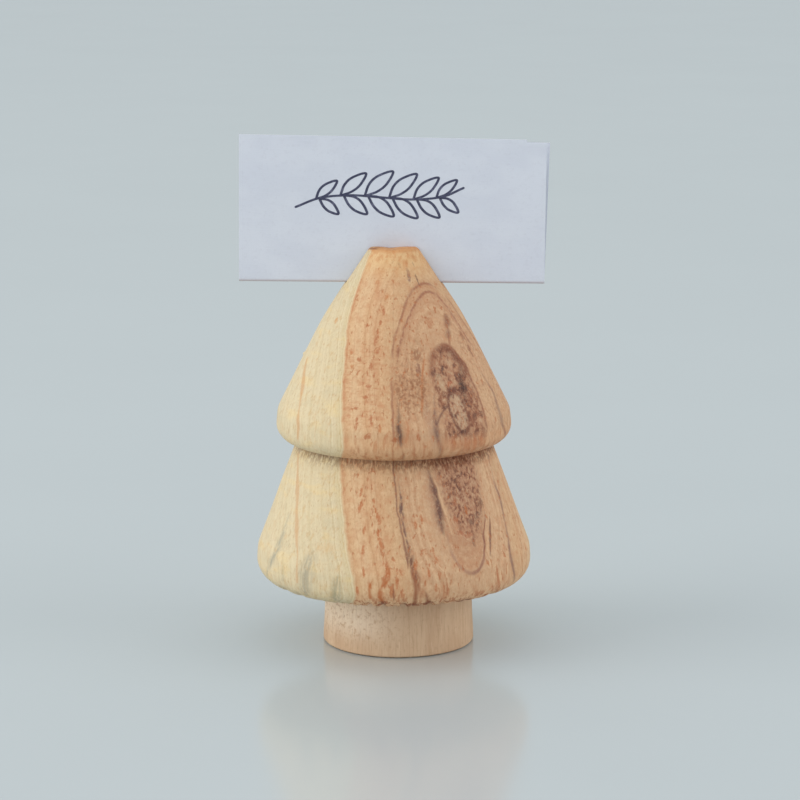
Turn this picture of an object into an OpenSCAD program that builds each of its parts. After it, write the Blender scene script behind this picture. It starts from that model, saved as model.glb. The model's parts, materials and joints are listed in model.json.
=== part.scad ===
// Place card holder: a turned wooden fir tree with a sawn slot in its tip.
// The tree stands on the table at z = 0, its axis is the Z axis, and the slot runs along X.
// The two tiers are one turned block, the trunk is a second turned piece on a glued dowel,
// and a card folded along its lower edge stands in the slot.

/* [Tree] */
// Height of the tree from the table to its tip
tree_h = 60.5; // [54:0.5:70]
// Height of the lower tier, from its underside to the underside of the upper tier
lower_tier_h = 21.4; // [17:0.1:25]
// Radius at which the lower tier's sloping side ends
lower_side_r = 20.5; // [19:0.1:22.5]
// Height of the steep band below the lower tier's side
lower_band_h = 5.1; // [2:0.1:7.5]
// Radius of the lower tier's bottom edge, before it is rounded over
lower_edge_r = 20.9; // [19.5:0.1:23]
// Round-over where the lower side turns into its band
lower_shoulder_round = 4.4; // [1:0.1:5]
// Round-over of the lower tier's bottom edge
lower_edge_round = 3; // [1:0.1:3.5]
// Radius at which the upper tier's sloping side ends
upper_side_r = 17.4; // [16:0.1:19]
// Height of the steep band below the upper tier's side
upper_band_h = 4.6; // [2:0.1:6.5]
// Radius of the upper tier's bottom edge, before it is rounded over
upper_edge_r = 17.9; // [17:0.1:19.5]
// Round-over where the upper side turns into its band
upper_shoulder_round = 3.3; // [1:0.1:4]
// Round-over of the upper tier's bottom edge
upper_edge_round = 2.4; // [0.8:0.1:2.8]
// Radius of the neck, where the lower tier starts under the upper one
neck_r = 14.5; // [12.5:0.1:15.3]
// Radius of the cove in the corner of the neck
neck_round = 0.4; // [0.1:0.1:0.8]
// Radius of the flat tip, before its rim is rounded
tip_r = 3.6; // [3:0.1:4.5]
// Round-over of the tip's rim
tip_round = 1; // [0.3:0.1:1.4]
// How far the upper tier's side swells out past a straight cone
side_swell = 1; // [0.5:0.1:1.6]
// Radius that blends the swelling into the side
swell_round = 60; // [35:1:80]

/* [Slot] */
// Width of the saw cut that grips the card
slot_w = 1.6; // [1.4:0.1:2.2]
// Depth of the saw cut below the tip
slot_depth = 5.6; // [4.5:0.1:8]

/* [Trunk] */
// Height of the trunk that shows under the lower tier
trunk_h = 9.9; // [8:0.1:13]
// Diameter of the trunk at its top
trunk_top_d = 22; // [18:0.1:25]
// Diameter of the trunk at its foot
trunk_foot_d = 22.8; // [19:0.1:26]
// Chamfer around the foot
foot_chamfer = 0.4; // [0.1:0.1:1]
// How far the trunk was glued off the tree's axis
trunk_offset = 0.7; // [0:0.1:1]

/* [Dowel] */
// Diameter of the fluted dowel between trunk and tree
dowel_d = 6; // [5:0.5:8]
// Length of dowel in the tree
dowel_in_tree = 9.5; // [7:0.5:12]
// Length of dowel in the trunk
dowel_in_trunk = 6.5; // [5:0.5:6.5]
// Chamfer on each end of the dowel
dowel_chamfer = 0.6; // [0.3:0.1:1]
// Number of glue flutes along the dowel
flute_count = 12; // [6:1:16]
// Depth of each glue flute
flute_depth = 0.25; // [0.1:0.05:0.35]

/* [Card] */
// Width of the folded card
card_w = 45.4; // [36:0.1:60]
// Height of the folded card at its taller side
card_h = 22; // [18:0.1:30]
// How much height the hand-cut card loses towards its other side
card_loss = 0.5; // [0.1:0.1:1.5]
// Width of the nick where the last scissor stroke ran low, at the lower side's corner
nick_w = 2.9; // [1:0.1:6]
// Depth of that nick
nick_h = 0.45; // [0.1:0.05:0.8]
// How much shorter the rear leaf is than the front one
rear_drop = 0.6; // [0.1:0.1:2]
// How far the rear leaf leans out sideways at its top, from a slightly crooked fold
fold_skew = 0.6; // [0.1:0.1:1]
// Thickness of the card stock
card_t = 0.25; // [0.2:0.01:0.3]
// Inner radius of the fold
fold_r = 0.15; // [0.1:0.01:0.2]
// Tilt of the card in the slot, in degrees
card_tilt = 0.5; // [0:0.1:0.6]
// How far the card stands off the tree's middle, against the X direction
card_shift = 0.3; // [0:0.1:2]

/* [Hidden] */
$fn = 96;
arc_steps = 10;
// Shares of the shorter neighbouring edge that a round-over may use, at an edge and at a gentle corner
edge_share = 0.8;
gentle_share = 0.18;
// Share of the upper side's height, down from the tip, at which it swells most
swell_share = 0.44;
// Overrun of every cut past the face that it opens
overrun = 1;
// Glue gap around the dowel, and beyond each of its ends
glue_gap = 0.05;
end_gap = 0.5;
flute_r = 0.4;
// Gap between the folded card and the slot's walls, and between its fold and the slot's floor
wall_gap = 0.12;
seat_gap = 0.1;
// Gap at the bottom of the crease, in degrees, where the two leaves meet
crease_gap_deg = 6;

neck_z = trunk_h + lower_tier_h;
side_foot_z = neck_z + upper_band_h;
swell_z = tree_h - swell_share * (tree_h - side_foot_z);
swell_r = tip_r + swell_share * (upper_side_r - tip_r) + side_swell;
slot_floor_z = tree_h - slot_depth;
dowel_r = dowel_d / 2;
fold_outer_r = fold_r + card_t;
fold_y = -slot_w / 2 + wall_gap + fold_outer_r;
fold_z = slot_floor_z + seat_gap + fold_outer_r;

// Top corners of the front leaf above the crease's own line, and a level below the fold
tall_corner_z = card_h - fold_outer_r;
low_corner_z = tall_corner_z - card_loss;
nick_z = low_corner_z + card_loss * nick_w / card_w;
below_fold = -fold_outer_r - overrun;
above_card = tall_corner_z + overrun;

// The sprung rear leaf opens until it nearly meets the slot's rear wall at the mouth.
mouth_h = tree_h - fold_z;
free_w = slot_w - 2 * wall_gap - fold_outer_r;
open_deg = acos(fold_outer_r / norm([free_w, mouth_h])) - atan2(mouth_h, free_w);

function unit(v) = v / norm(v);

// Points of the round-over at corner p, between the corners a before it and b after it.
function corner_arc(a, p, b, radius, share) =
    let (
        to_a = unit(a - p),
        to_b = unit(b - p),
        half = acos(to_a * to_b) / 2,
        back = min(radius / tan(half), share * min(norm(a - p), norm(b - p))),
        r = back * tan(half),
        centre = p + unit(to_a + to_b) * r / sin(half),
        first = p + to_a * back - centre,
        last = p + to_b * back - centre,
        start = atan2(first.y, first.x),
        turn = (atan2(last.y, last.x) - start + 540) % 360 - 180
    )
    [for (i = [0:arc_steps]) let (a = start + turn * i / arc_steps) centre + r * [cos(a), sin(a)]];

// A turned outline from [radius, height, round-over, share] corners. Its first and last corners stay sharp.
function turned_outline(corners) =
    let (last = len(corners) - 1, at = [for (c = corners) [c[0], c[1]]])
    concat(
        [at[0]],
        [for (i = [1:last - 1]) each corner_arc(at[i - 1], at[i], at[i + 1], corners[i][2], corners[i][3])],
        [at[last]]
    );

// Part of the fold's ring: outwards along its outer radius from one angle to the other, and back inside.
function crease_arc(from, to) = concat(
    [for (i = [0:arc_steps]) let (a = from + (to - from) * i / arc_steps) fold_outer_r * [cos(a), sin(a)]],
    [for (i = [arc_steps:-1:0]) let (a = from + (to - from) * i / arc_steps) fold_r * [cos(a), sin(a)]]
);

module dowel_hole(depth) {
    cylinder(r = dowel_r + glue_gap, h = depth);
}

// Both tiers, turned from one block
module tree_body() {
    color("burlywood")
    difference() {
        rotate_extrude()
            polygon(turned_outline([
                [0, tree_h],
                [tip_r, tree_h, tip_round, gentle_share],
                [swell_r, swell_z, swell_round, edge_share],
                [upper_side_r, side_foot_z, upper_shoulder_round, gentle_share],
                [upper_edge_r, neck_z, upper_edge_round, edge_share],
                [neck_r, neck_z, neck_round, gentle_share],
                [lower_side_r, trunk_h + lower_band_h, lower_shoulder_round, gentle_share],
                [lower_edge_r, trunk_h, lower_edge_round, edge_share],
                [0, trunk_h]
            ]));
        translate([-upper_edge_r, -slot_w / 2, slot_floor_z])
            cube([2 * upper_edge_r, slot_w, slot_depth + overrun]);
        translate([trunk_offset, 0, trunk_h - overrun])
            dowel_hole(overrun + dowel_in_tree + end_gap);
    }
}

// The trunk, turned from another piece of wood and glued a little off centre
module trunk() {
    color("tan")
    translate([trunk_offset, 0, 0])
    difference() {
        rotate_extrude()
            polygon([
                [0, 0],
                [trunk_foot_d / 2 - foot_chamfer, 0],
                [trunk_foot_d / 2, foot_chamfer],
                [trunk_top_d / 2, trunk_h],
                [0, trunk_h]
            ]);
        translate([0, 0, trunk_h - dowel_in_trunk - end_gap])
            dowel_hole(dowel_in_trunk + end_gap + overrun);
    }
}

// Fluted beech dowel that joins trunk and tree
module trunk_dowel() {
    length = dowel_in_trunk + dowel_in_tree;
    color("wheat")
    translate([trunk_offset, 0, trunk_h - dowel_in_trunk])
    difference() {
        union() {
            cylinder(r1 = dowel_r - dowel_chamfer, r2 = dowel_r, h = dowel_chamfer);
            translate([0, 0, dowel_chamfer])
                cylinder(r = dowel_r, h = length - 2 * dowel_chamfer);
            translate([0, 0, length - dowel_chamfer])
                cylinder(r1 = dowel_r, r2 = dowel_r - dowel_chamfer, h = dowel_chamfer);
        }
        for (i = [0:flute_count - 1])
            rotate(i * 360 / flute_count)
                translate([dowel_r + flute_r - flute_depth, 0, -overrun])
                    cylinder(r = flute_r, h = length + 2 * overrun, $fn = 24);
    }
}

// Stands a card piece, drawn round the crease's own line, at its place in the slot.
module in_slot() {
    translate([-card_shift, fold_y, fold_z])
        rotate([0, card_tilt, 0])
            children();
}

// One leaf of the card: its section, seen along the crease, cut to the leaf's outline.
module leaf(section, outline) {
    intersection() {
        rotate([90, 0, 90])
            linear_extrude(height = card_w + 2 * fold_skew + 2 * overrun, center = true)
                polygon(section);
        rotate([90, 0, 0])
            linear_extrude(height = 4 * fold_outer_r, center = true)
                polygon(outline);
    }
}

// Front leaf, upright, with the front half of the fold
module card_front_leaf() {
    color("ghostwhite")
    in_slot()
        leaf(
            concat(
                [[-fold_r, above_card], [-fold_outer_r, above_card]],
                crease_arc(180, 270 - crease_gap_deg / 2)
            ),
            [
                [-card_w / 2, below_fold],
                [card_w / 2, below_fold],
                [card_w / 2, low_corner_z - nick_h],
                [card_w / 2 - nick_w, nick_z - nick_h],
                [card_w / 2 - nick_w, nick_z],
                [-card_w / 2, tall_corner_z]
            ]
        );
}

// Rear leaf, sprung open against the slot's rear wall, with the rear half of the fold
module card_back_leaf() {
    color("white")
    in_slot()
        rotate([-open_deg, 0, 0])
            leaf(
                concat(
                    [[fold_r, above_card], [fold_outer_r, above_card]],
                    crease_arc(0, -90 + crease_gap_deg / 2 + open_deg)
                ),
                [
                    [-card_w / 2, below_fold],
                    [card_w / 2, below_fold],
                    [card_w / 2, 0],
                    [card_w / 2 + fold_skew, low_corner_z - rear_drop],
                    [-card_w / 2 + fold_skew, tall_corner_z - rear_drop],
                    [-card_w / 2, 0]
                ]
            );
}

tree_body();
trunk();
trunk_dowel();
card_front_leaf();
card_back_leaf();
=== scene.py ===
"""Looks for a turned wooden fir tree that holds a folded place card in its sawn tip."""

import json
import math
from functools import reduce

import bmesh
import bpy
import numpy as np
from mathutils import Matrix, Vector, noise


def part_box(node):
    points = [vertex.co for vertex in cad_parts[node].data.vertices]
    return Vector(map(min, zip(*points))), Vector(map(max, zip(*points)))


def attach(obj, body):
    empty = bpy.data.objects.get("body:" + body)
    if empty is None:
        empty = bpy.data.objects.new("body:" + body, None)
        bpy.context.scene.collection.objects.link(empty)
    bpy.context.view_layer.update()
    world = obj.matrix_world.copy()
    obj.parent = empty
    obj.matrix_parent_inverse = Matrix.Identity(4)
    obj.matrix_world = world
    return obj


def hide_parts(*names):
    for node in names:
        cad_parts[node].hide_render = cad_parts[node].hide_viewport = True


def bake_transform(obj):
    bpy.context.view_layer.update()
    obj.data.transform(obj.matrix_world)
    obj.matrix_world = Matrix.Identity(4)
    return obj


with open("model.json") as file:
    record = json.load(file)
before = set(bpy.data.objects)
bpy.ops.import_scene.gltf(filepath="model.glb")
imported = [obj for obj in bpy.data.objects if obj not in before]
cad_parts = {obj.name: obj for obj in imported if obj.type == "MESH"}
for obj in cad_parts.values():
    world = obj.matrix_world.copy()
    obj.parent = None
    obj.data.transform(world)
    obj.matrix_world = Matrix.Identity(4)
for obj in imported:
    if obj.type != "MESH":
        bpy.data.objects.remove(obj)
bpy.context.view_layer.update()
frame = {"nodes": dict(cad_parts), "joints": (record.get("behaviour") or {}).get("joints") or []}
MM = 0.001

# Tree, both tiers.
# One block of a reddish hardwood, turned to two cones on a lathe and sanded, left bare.
# Its heart lies towards the right front, so cream sapwood shows on the left.
tree_low, tree_high = (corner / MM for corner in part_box("tree_body"))
underside_z = tree_low.z
tip_z = tree_high.z
tree_h = tip_z - underside_z
lower_edge_r = 20.9
lower_side_r = 20.5
lower_band_h = 5.1
upper_edge_r = 17.9
upper_side_r = 17.4
upper_band_h = 4.6
neck_r = 14.5
neck_z = underside_z + 21.4
tip_r = 3.6
swell_r = 10.7
swell_z = 49.6
slot_w = 1.6
slot_floor_z = tip_z - 5.6
glued_offset = 0.7
bore_r = 3.05
bore_in_tree = 10.0
tree_sides = 540
tree_row_h = 0.35


def turned_outline(corners, arc_points=9):
    """Radius and height of an outline's points, with each corner rounded over by its third number."""
    points = [np.array(corners[0][:2])]
    for before, corner, after in zip(corners, corners[1:], corners[2:]):
        at = np.array(corner[:2])
        to_a = np.array(before[:2]) - at
        to_b = np.array(after[:2]) - at
        to_a /= np.hypot(*to_a)
        to_b /= np.hypot(*to_b)
        half = math.acos(np.clip(to_a @ to_b, -1, 1)) / 2
        middle = to_a + to_b
        centre = at + middle / np.hypot(*middle) * corner[2] / math.sin(half)
        first = at + to_a * corner[2] / math.tan(half) - centre
        last = at + to_b * corner[2] / math.tan(half) - centre
        start = math.atan2(first[1], first[0])
        turn = (math.atan2(last[1], last[0]) - start + math.pi) % math.tau - math.pi
        for share in np.linspace(0, 1, arc_points):
            angle = start + turn * share
            points.append(centre + corner[2] * np.array([math.cos(angle), math.sin(angle)]))
    points.append(np.array(corners[-1][:2]))
    return points


def evenly(points, step):
    """The same outline with no stretch longer than step."""
    rows = [points[0]]
    for a, b in zip(points, points[1:]):
        count = max(1, math.ceil(np.hypot(*(b - a)) / step))
        rows += [a + (b - a) * k / count for k in range(1, count + 1)]
    return rows


def put(name, data):
    """A new object in the scene."""
    made = bpy.data.objects.new(name, data)
    bpy.context.scene.collection.objects.link(made)
    return made


def put_mesh(name, places, faces):
    """A new object made of places in metres and the faces between them."""
    mesh = bpy.data.meshes.new(name)
    mesh.from_pydata(places, [], faces)
    mesh.validate()
    return put(name, mesh)


def turned_mesh(name, outline, sides, middle=(0.0, 0.0)):
    """A closed turned solid. The outline starts and ends on its axis."""
    rows = outline[1:-1]
    angles = np.arange(sides) * math.tau / sides
    circle = list(zip(np.cos(angles), np.sin(angles)))
    places = [(middle[0] + radius * c, middle[1] + radius * s, z) for radius, z in rows for c, s in circle]
    top = len(places)
    places += [(*middle, outline[0][1]), (*middle, outline[-1][1])]
    faces = [(k, (k + 1) % sides, top) for k in range(sides)]
    for row in range(len(rows) - 1):
        for k in range(sides):
            a, b = row * sides + k, row * sides + (k + 1) % sides
            faces.append((a, a + sides, b + sides, b))
    last = (len(rows) - 1) * sides
    faces += [(top + 1, last + (k + 1) % sides, last + k) for k in range(sides)]
    return put_mesh(name, [Vector(p) * MM for p in places], faces)


def reshape(piece, move):
    """Moves every corner of a piece by move(corner), in millimetres."""
    for vertex in piece.data.vertices:
        vertex.co += move(vertex.co / MM) * MM
    piece.data.update()


def cut_out(piece, *cutters):
    """Cuts each cutter's shape out of the piece and removes the cutters."""
    for cutter in cutters:
        step = piece.modifiers.new("cut", "BOOLEAN")
        step.operation = "DIFFERENCE"
        step.solver = "EXACT"
        step.object = cutter
    bpy.context.view_layer.update()
    seen = piece.evaluated_get(bpy.context.evaluated_depsgraph_get())
    mesh = bpy.data.meshes.new_from_object(seen)
    piece.modifiers.clear()
    piece.data = mesh
    for cutter in cutters:
        bpy.data.objects.remove(cutter)


def smooth_over(piece, sharp_deg=35):
    """Shades a piece smooth, apart from edges sharper than an angle."""
    piece.data.shade_smooth()
    piece.data.set_sharp_from_angle(angle=math.radians(sharp_deg))


def block(name, low, high):
    """A plain box from one corner to the other, in millimetres."""
    mesh = bpy.data.meshes.new(name)
    shape = bmesh.new()
    bmesh.ops.create_cube(shape, size=1)
    low, high = Vector(low), Vector(high)
    for vertex in shape.verts:
        share = vertex.co + Vector((0.5, 0.5, 0.5))
        vertex.co = Vector(l + (h - l) * s for l, h, s in zip(low, high, share)) * MM
    shape.to_mesh(mesh)
    shape.free()
    return put(name, mesh)


def dowel_drill(name, low_z, high_z):
    """A cutter for one of the dowel's bores."""
    corners = ((0, high_z), (bore_r, high_z), (bore_r, low_z), (0, low_z))
    return turned_mesh(name, [np.array(p) for p in corners], 64, (glued_offset, 0))


def fade(value, start, end):
    """0 before start, 1 after end, eased between."""
    share = min(1.0, max(0.0, (value - start) / (end - start)))
    return share * share * (3 - 2 * share)


tree_outline = evenly(
    turned_outline(
        [
            (0, tip_z, 0),
            (tip_r, tip_z, 1.0),
            (swell_r, swell_z, 60),
            (upper_side_r, neck_z + upper_band_h, 3.3),
            (upper_edge_r, neck_z, 2.4),
            (neck_r, neck_z, 0.4),
            (lower_side_r, underside_z + lower_band_h, 4.4),
            (lower_edge_r, underside_z, 3.0),
            (0, underside_z, 0),
        ]
    ),
    tree_row_h,
)
tree = turned_mesh("turned_tree", tree_outline, tree_sides)

skin_r = 20
sanding_depth, sanding_w, sanding_h = 0.07, 9, 6
neck_torn_h = 2.4
neck_torn_r = 16
neck_torn_depth = 0.16
tear_w, tear_h = 0.28, 2.5
rim_torn_h = 1.5
rim_inner_r = 16.4
rim_outer_r = 17.8
rim_front_deg = -87
rim_front_spread_deg = 30
notch_w, notch_h, notch_depth = 1.05, 0.65, 0.35
splinter_w, splinter_h, splinter_depth = 0.32, 0.3, 0.25
rim_chips = ((-146, 2.2, 0.35), (-136, 1.5, 0.25), (-41, 1.8, 0.25), (62, 2.5, 0.4))
lip_h = 0.9
lip_dent_x, lip_dent_w, lip_dent_depth = -0.3, 0.95, 0.16
pimple_z, pimple_w, pimple_h = 44.1, 0.2, 0.22
pimple_deg = 177.5


def lathe_and_wear(at):
    """Hand-held sanding, the torn rim, the rough neck and the worn lip of the tip."""
    radius = math.hypot(at.x, at.y)
    move = Vector((0, 0, 0))
    if radius < 0.5:
        return move
    out = Vector((at.x, at.y, 0)) / radius
    angle = math.degrees(math.atan2(at.y, at.x))
    around = math.radians(angle) * skin_r
    move += out * sanding_depth * noise.noise(Vector((at.x / sanding_w, at.y / sanding_w, at.z / sanding_h)))
    if neck_r - 0.3 < radius < neck_torn_r and neck_z - neck_torn_h < at.z < neck_z:
        deep = fade(at.z, neck_z - neck_torn_h, neck_z - 0.3)
        ragged = noise.noise(Vector((around / tear_w, at.z / tear_h, 3)))
        move -= out * neck_torn_depth * deep * max(0, ragged + 0.25)
    if radius > rim_inner_r and at.z < underside_z + rim_torn_h:
        low = 1 - fade(at.z, underside_z + 0.2, underside_z + 1.4)
        low *= fade(radius, rim_inner_r, rim_outer_r)
        front = math.exp(-(((angle - rim_front_deg) / rim_front_spread_deg) ** 4))
        notch = max(0, noise.noise(Vector((around / notch_w, 0, 7))) + 0.08) ** 0.8
        splinter = max(0, noise.noise(Vector((around / splinter_w, 1, 9))))
        move += Vector((0, 0, 1)) * low * front * (notch_h * notch + splinter_h * splinter)
        move -= out * low * front * (notch_depth * notch + splinter_depth * splinter)
        for chip_deg, width_deg, depth in rim_chips:
            chip = math.exp(-(((angle - chip_deg) / width_deg) ** 2)) * low
            move += Vector((-out.x, -out.y, 1)) * depth * chip
    if at.z > tip_z - lip_h and at.y < 0.2:
        worn = math.exp(-(((at.x - lip_dent_x) / lip_dent_w) ** 2)) * fade(at.z, tip_z - lip_h, tip_z - 0.2)
        move.z -= lip_dent_depth * worn
    if abs(at.z - pimple_z) < 0.5 and abs(angle) > pimple_deg:
        move += out * pimple_h * math.exp(-(((at.z - pimple_z) / pimple_w) ** 2))
    return move


saw_reach = 25
reshape(tree, lathe_and_wear)
slot_cutter = block("slot_cutter", (-saw_reach, -slot_w / 2, slot_floor_z), (saw_reach, slot_w / 2, tip_z + 2))
cut_out(tree, slot_cutter, dowel_drill("bore_cutter", underside_z - 1, underside_z + bore_in_tree))

saw_edge_w = 0.22
saw_edge_slope = 0.55
saw_rag_w = 0.5


def soften_saw_cut(at):
    """Eases the edges that the saw left along the slot."""
    gap = abs(at.y) - slot_w / 2
    if at.z < slot_floor_z + 0.05 or not -0.001 <= gap < saw_edge_w:
        return Vector((0, 0, 0))
    radius = max(math.hypot(at.x, at.y), 1e-6)
    slope = Vector((at.x / radius, at.y / radius, saw_edge_slope))
    if radius < tip_r - 0.4:
        slope = Vector((0, 0, 1))
    worn = (saw_edge_w - gap) ** 2 / (2 * saw_edge_w)
    ragged = 0.7 + 0.6 * noise.noise(Vector((at.x / saw_rag_w, at.z / saw_rag_w, 4)))
    return -slope.normalized() * worn * ragged


reshape(tree, soften_saw_cut)
smooth_over(tree)
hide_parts("tree_body")
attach(tree, "holder")


def paint(red, green, blue):
    """A colour given as 0 to 255, as the shaders want it."""
    def line(level):
        level /= 255
        return level / 12.92 if level <= 0.04045 else ((level + 0.055) / 1.055) ** 2.4
    return (line(red), line(green), line(blue), 1.0)


class Nodes:
    """A node tree, with short calls for the nodes used most."""

    def __init__(self, tree):
        self.tree = tree

    def add(self, kind, inputs=(), **settings):
        """A new node. Inputs maps its sockets to values, or to the outputs that feed them."""
        made = self.tree.nodes.new("ShaderNode" + kind)
        for key, value in settings.items():
            setattr(made, key, value)
        for key, value in dict(inputs).items():
            if isinstance(value, bpy.types.NodeSocket):
                self.tree.links.new(value, made.inputs[key])
            else:
                made.inputs[key].default_value = value
        return made

    def calc(self, operation, a, b=0.0):
        """One step of arithmetic."""
        return self.add("Math", {0: a, 1: b}, operation=operation).outputs[0]

    def scaled(self, value, by, plus):
        """The value multiplied by one number and moved by another."""
        return self.add("Math", {0: value, 1: by, 2: plus}, operation="MULTIPLY_ADD").outputs[0]

    def total(self, *values):
        return reduce(lambda a, b: self.calc("ADD", a, b), values)

    def times(self, *values):
        return reduce(lambda a, b: self.calc("MULTIPLY", a, b), values)

    def curve(self, value, points):
        """A smooth curve through (place, height) points, all from 0 to 1."""
        made = self.add("FloatCurve", {1: value})
        made.mapping.extend = "HORIZONTAL"
        line = made.mapping.curves[0]
        line.points[0].location = points[0]
        line.points[1].location = points[-1]
        for point in points[1:-1]:
            line.points.new(*point)
        made.mapping.update()
        return made.outputs[0]

    def ease(self, value, start, end):
        """0 at start, 1 at end, eased between. Start may be above end, and end may be an output."""
        steps = {1: start, 2: end, 3: 0.0, 4: 1.0}
        if not isinstance(end, bpy.types.NodeSocket) and start > end:
            steps = {1: end, 2: start, 3: 1.0, 4: 0.0}
        made = self.add("MapRange", {0: value} | steps, interpolation_type="SMOOTHSTEP", clamp=False)
        return made.outputs[0]

    def bump_at(self, value, centre, width):
        """1 at the centre, fading to 0 at width on both sides."""
        off = self.calc("ABSOLUTE", self.calc("SUBTRACT", value, centre))
        return self.ease(off, width, 0.0)

    def oval_at(self, bearing, level, radius, at_bearing, at_z, *turn):
        """Squared distance on the skin from an oval's middle, 1 on its rim; see oval_turn."""
        beside = self.times(self.calc("SUBTRACT", bearing, at_bearing), radius)
        above = self.calc("SUBTRACT", level, at_z)
        wide = self.scaled(beside, turn[0], self.times(above, turn[1]))
        tall = self.scaled(beside, turn[2], self.times(above, turn[3]))
        return self.scaled(wide, wide, self.times(tall, tall))

    def blend(self, under, over, share):
        """Two colours mixed, with over as strong as its share."""
        return self.add("Mix", {0: share, 6: under, 7: over}, data_type="RGBA").outputs[2]

    def ramp(self, value, stops):
        """A colour that runs through (place, colour) stops."""
        made = self.add("ValToRGB", {0: value})
        band = made.color_ramp
        while len(band.elements) < len(stops):
            band.elements.new(0.5)
        for element, (place, colour) in zip(band.elements, stops):
            element.position = place
            element.color = colour
        return made.outputs[0]


class Finish(Nodes):
    """A material built up in layers of colour, with patterns measured in millimetres."""

    def __init__(self, name):
        self.material = bpy.data.materials.new(name)
        self.material.use_nodes = True
        super().__init__(self.material.node_tree)
        self.shader = self.tree.nodes["Principled BSDF"]
        self.place = self.add("TexCoord").outputs["Object"]
        self.x, self.y, self.z = self.add("SeparateXYZ", {0: self.grid((1.0, 1.0, 1.0))}).outputs
        self.colour = None

    def grid(self, size, shift=0.0):
        """The place measured in steps of size, in millimetres along X, Y and Z."""
        steps = tuple(1 / (s * MM) for s in size)
        return self.add("Mapping", {0: self.place, 1: (shift, shift * 2, shift * 3), 3: steps}).outputs[0]

    def speckle(self, size, shift=0.0, detail=2.0, rough=0.5, bend=0.0):
        """Noise from 0 to 1 whose grains measure size, in millimetres along X, Y and Z."""
        settings = {"Scale": 1.0, "Detail": detail, "Roughness": rough, "Distortion": bend}
        return self.add("TexNoise", {"Vector": self.grid(size, shift)} | settings).outputs["Fac"]

    def drift(self, size, reach):
        """Three slow offsets of up to half of reach each way."""
        settings = {"Vector": self.grid(size), "Scale": 1.0, "Detail": 2.0}
        cloud = self.add("SeparateColor", {0: self.add("TexNoise", settings).outputs["Color"]})
        return [self.scaled(part, reach * 2, -reach) for part in cloud.outputs]

    def cover(self, shade, *shares):
        """Lays a shade over the colour so far, as strongly as the product of its shares."""
        self.colour = self.blend(self.colour, paint(*shade), self.times(*shares))

    def surface(self, rough, height, depth, gloss=0.35):
        """Ends the material with its colour, roughness and a relief of depth millimetres."""
        self.tree.links.new(self.colour, self.shader.inputs["Base Color"])
        self.tree.links.new(rough, self.shader.inputs["Roughness"])
        self.shader.inputs["Specular IOR Level"].default_value = gloss
        relief = self.add("Bump", {"Height": height, "Distance": depth * MM, "Strength": 1.0})
        self.tree.links.new(relief.outputs[0], self.shader.inputs["Normal"])
        return self.material


def dress(piece, material):
    """Gives every face of a piece one material."""
    piece.data.materials.clear()
    piece.data.materials.append(material)
    for face in piece.data.polygons:
        face.material_index = 0


def packed(name, numbers, build):
    """A layer of colour packed into one node, to be used for many marks."""
    group = bpy.data.node_groups.new(name, "ShaderNodeTree")
    sockets = [(key, "Color") for key in ("under", "over")] + [(key, "Float") for key in numbers]
    for key, kind in sockets:
        group.interface.new_socket(key, in_out="INPUT", socket_type="NodeSocket" + kind)
    group.interface.new_socket("colour", in_out="OUTPUT", socket_type="NodeSocketColor")
    first, last = group.nodes.new("NodeGroupInput"), group.nodes.new("NodeGroupOutput")
    group.links.new(build(Nodes(group), *list(first.outputs)[:len(sockets)]), last.inputs[0])
    return group


def oval_turn(across, along, tilt):
    """The four numbers that scale an oval and tilt it, in degrees, with its top to the left."""
    cos, sin = math.cos(math.radians(tilt)), math.sin(math.radians(tilt))
    return cos / across, sin / across, -sin / along, cos / along


def spot_layer(made, under, over, strength, frayed, *place_and_turn):
    """An oval mark with a frayed rim."""
    away = made.total(made.oval_at(*place_and_turn), frayed)
    return made.blend(under, over, made.times(made.ease(away, 1.7, 0.0), strength))


def line_layer(made, under, over, strength, off, radius, weight, thin, soft):
    """A line down the grain, seen from how far off its middle a place is."""
    away = made.times(made.calc("ABSOLUTE", off), radius)
    mask = made.ease(made.scaled(away, thin, weight), 0.0, soft)
    return made.blend(under, over, made.times(mask, strength))


spot_numbers = (
    "strength", "frayed", "bearing", "level", "radius", "at_bearing", "at_z",
    "turn_1", "turn_2", "turn_3", "turn_4",
)
spot_node = packed("wood_spot", spot_numbers, spot_layer)
line_node = packed("wood_line", ("strength", "off", "radius", "weight", "thin", "soft"), line_layer)

pith_x = 9.37
pith_y = -12.9
pith_lean = 0.03
pith_middle_z = 30.0
sap_ring = 17.6
ring_reach = 30.0
ring_shrink = (
    (11, 0.9), (17, 0.62), (21.6, 0.5), (27.5, 0.41), (31, 0.31),
    (37, 0.24), (43, 0.27), (48, 0.18), (51, 0.13), (55, 0.14),
)
ring_colours = (
    (0.0, (194, 157, 128)), (1.4, (192, 151, 121)), (2.4, (195, 151, 119)), (3.8, (198, 154, 120)),
    (4.9, (210, 168, 131)), (6.0, (214, 174, 136)), (8.2, (212, 170, 132)), (9.6, (212, 171, 131)),
    (10.5, (215, 175, 133)), (11.5, (218, 177, 134)), (12.4, (215, 170, 127)), (13.4, (221, 182, 140)),
    (14.4, (218, 173, 129)), (15.4, (225, 188, 146)), (16.4, (226, 189, 146)), (17.1, (217, 174, 130)),
    (17.55, (218, 186, 144)), (17.8, (221, 201, 160)), (19.0, (223, 205, 168)), (26.0, (226, 209, 172)),
)


def height_share(z):
    """A height on the tree, from 0 at its underside to 1 at its tip."""
    return (z - underside_z) / tree_h


def radius_at(z):
    """The tree's widest radius at a height."""
    across = [0.0]
    for (r, start), (next_r, end) in zip(tree_outline, tree_outline[1:]):
        if start != end and min(start, end) <= z <= max(start, end):
            across.append(r + (next_r - r) * (z - start) / (end - start))
    return float(max(across))


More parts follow.
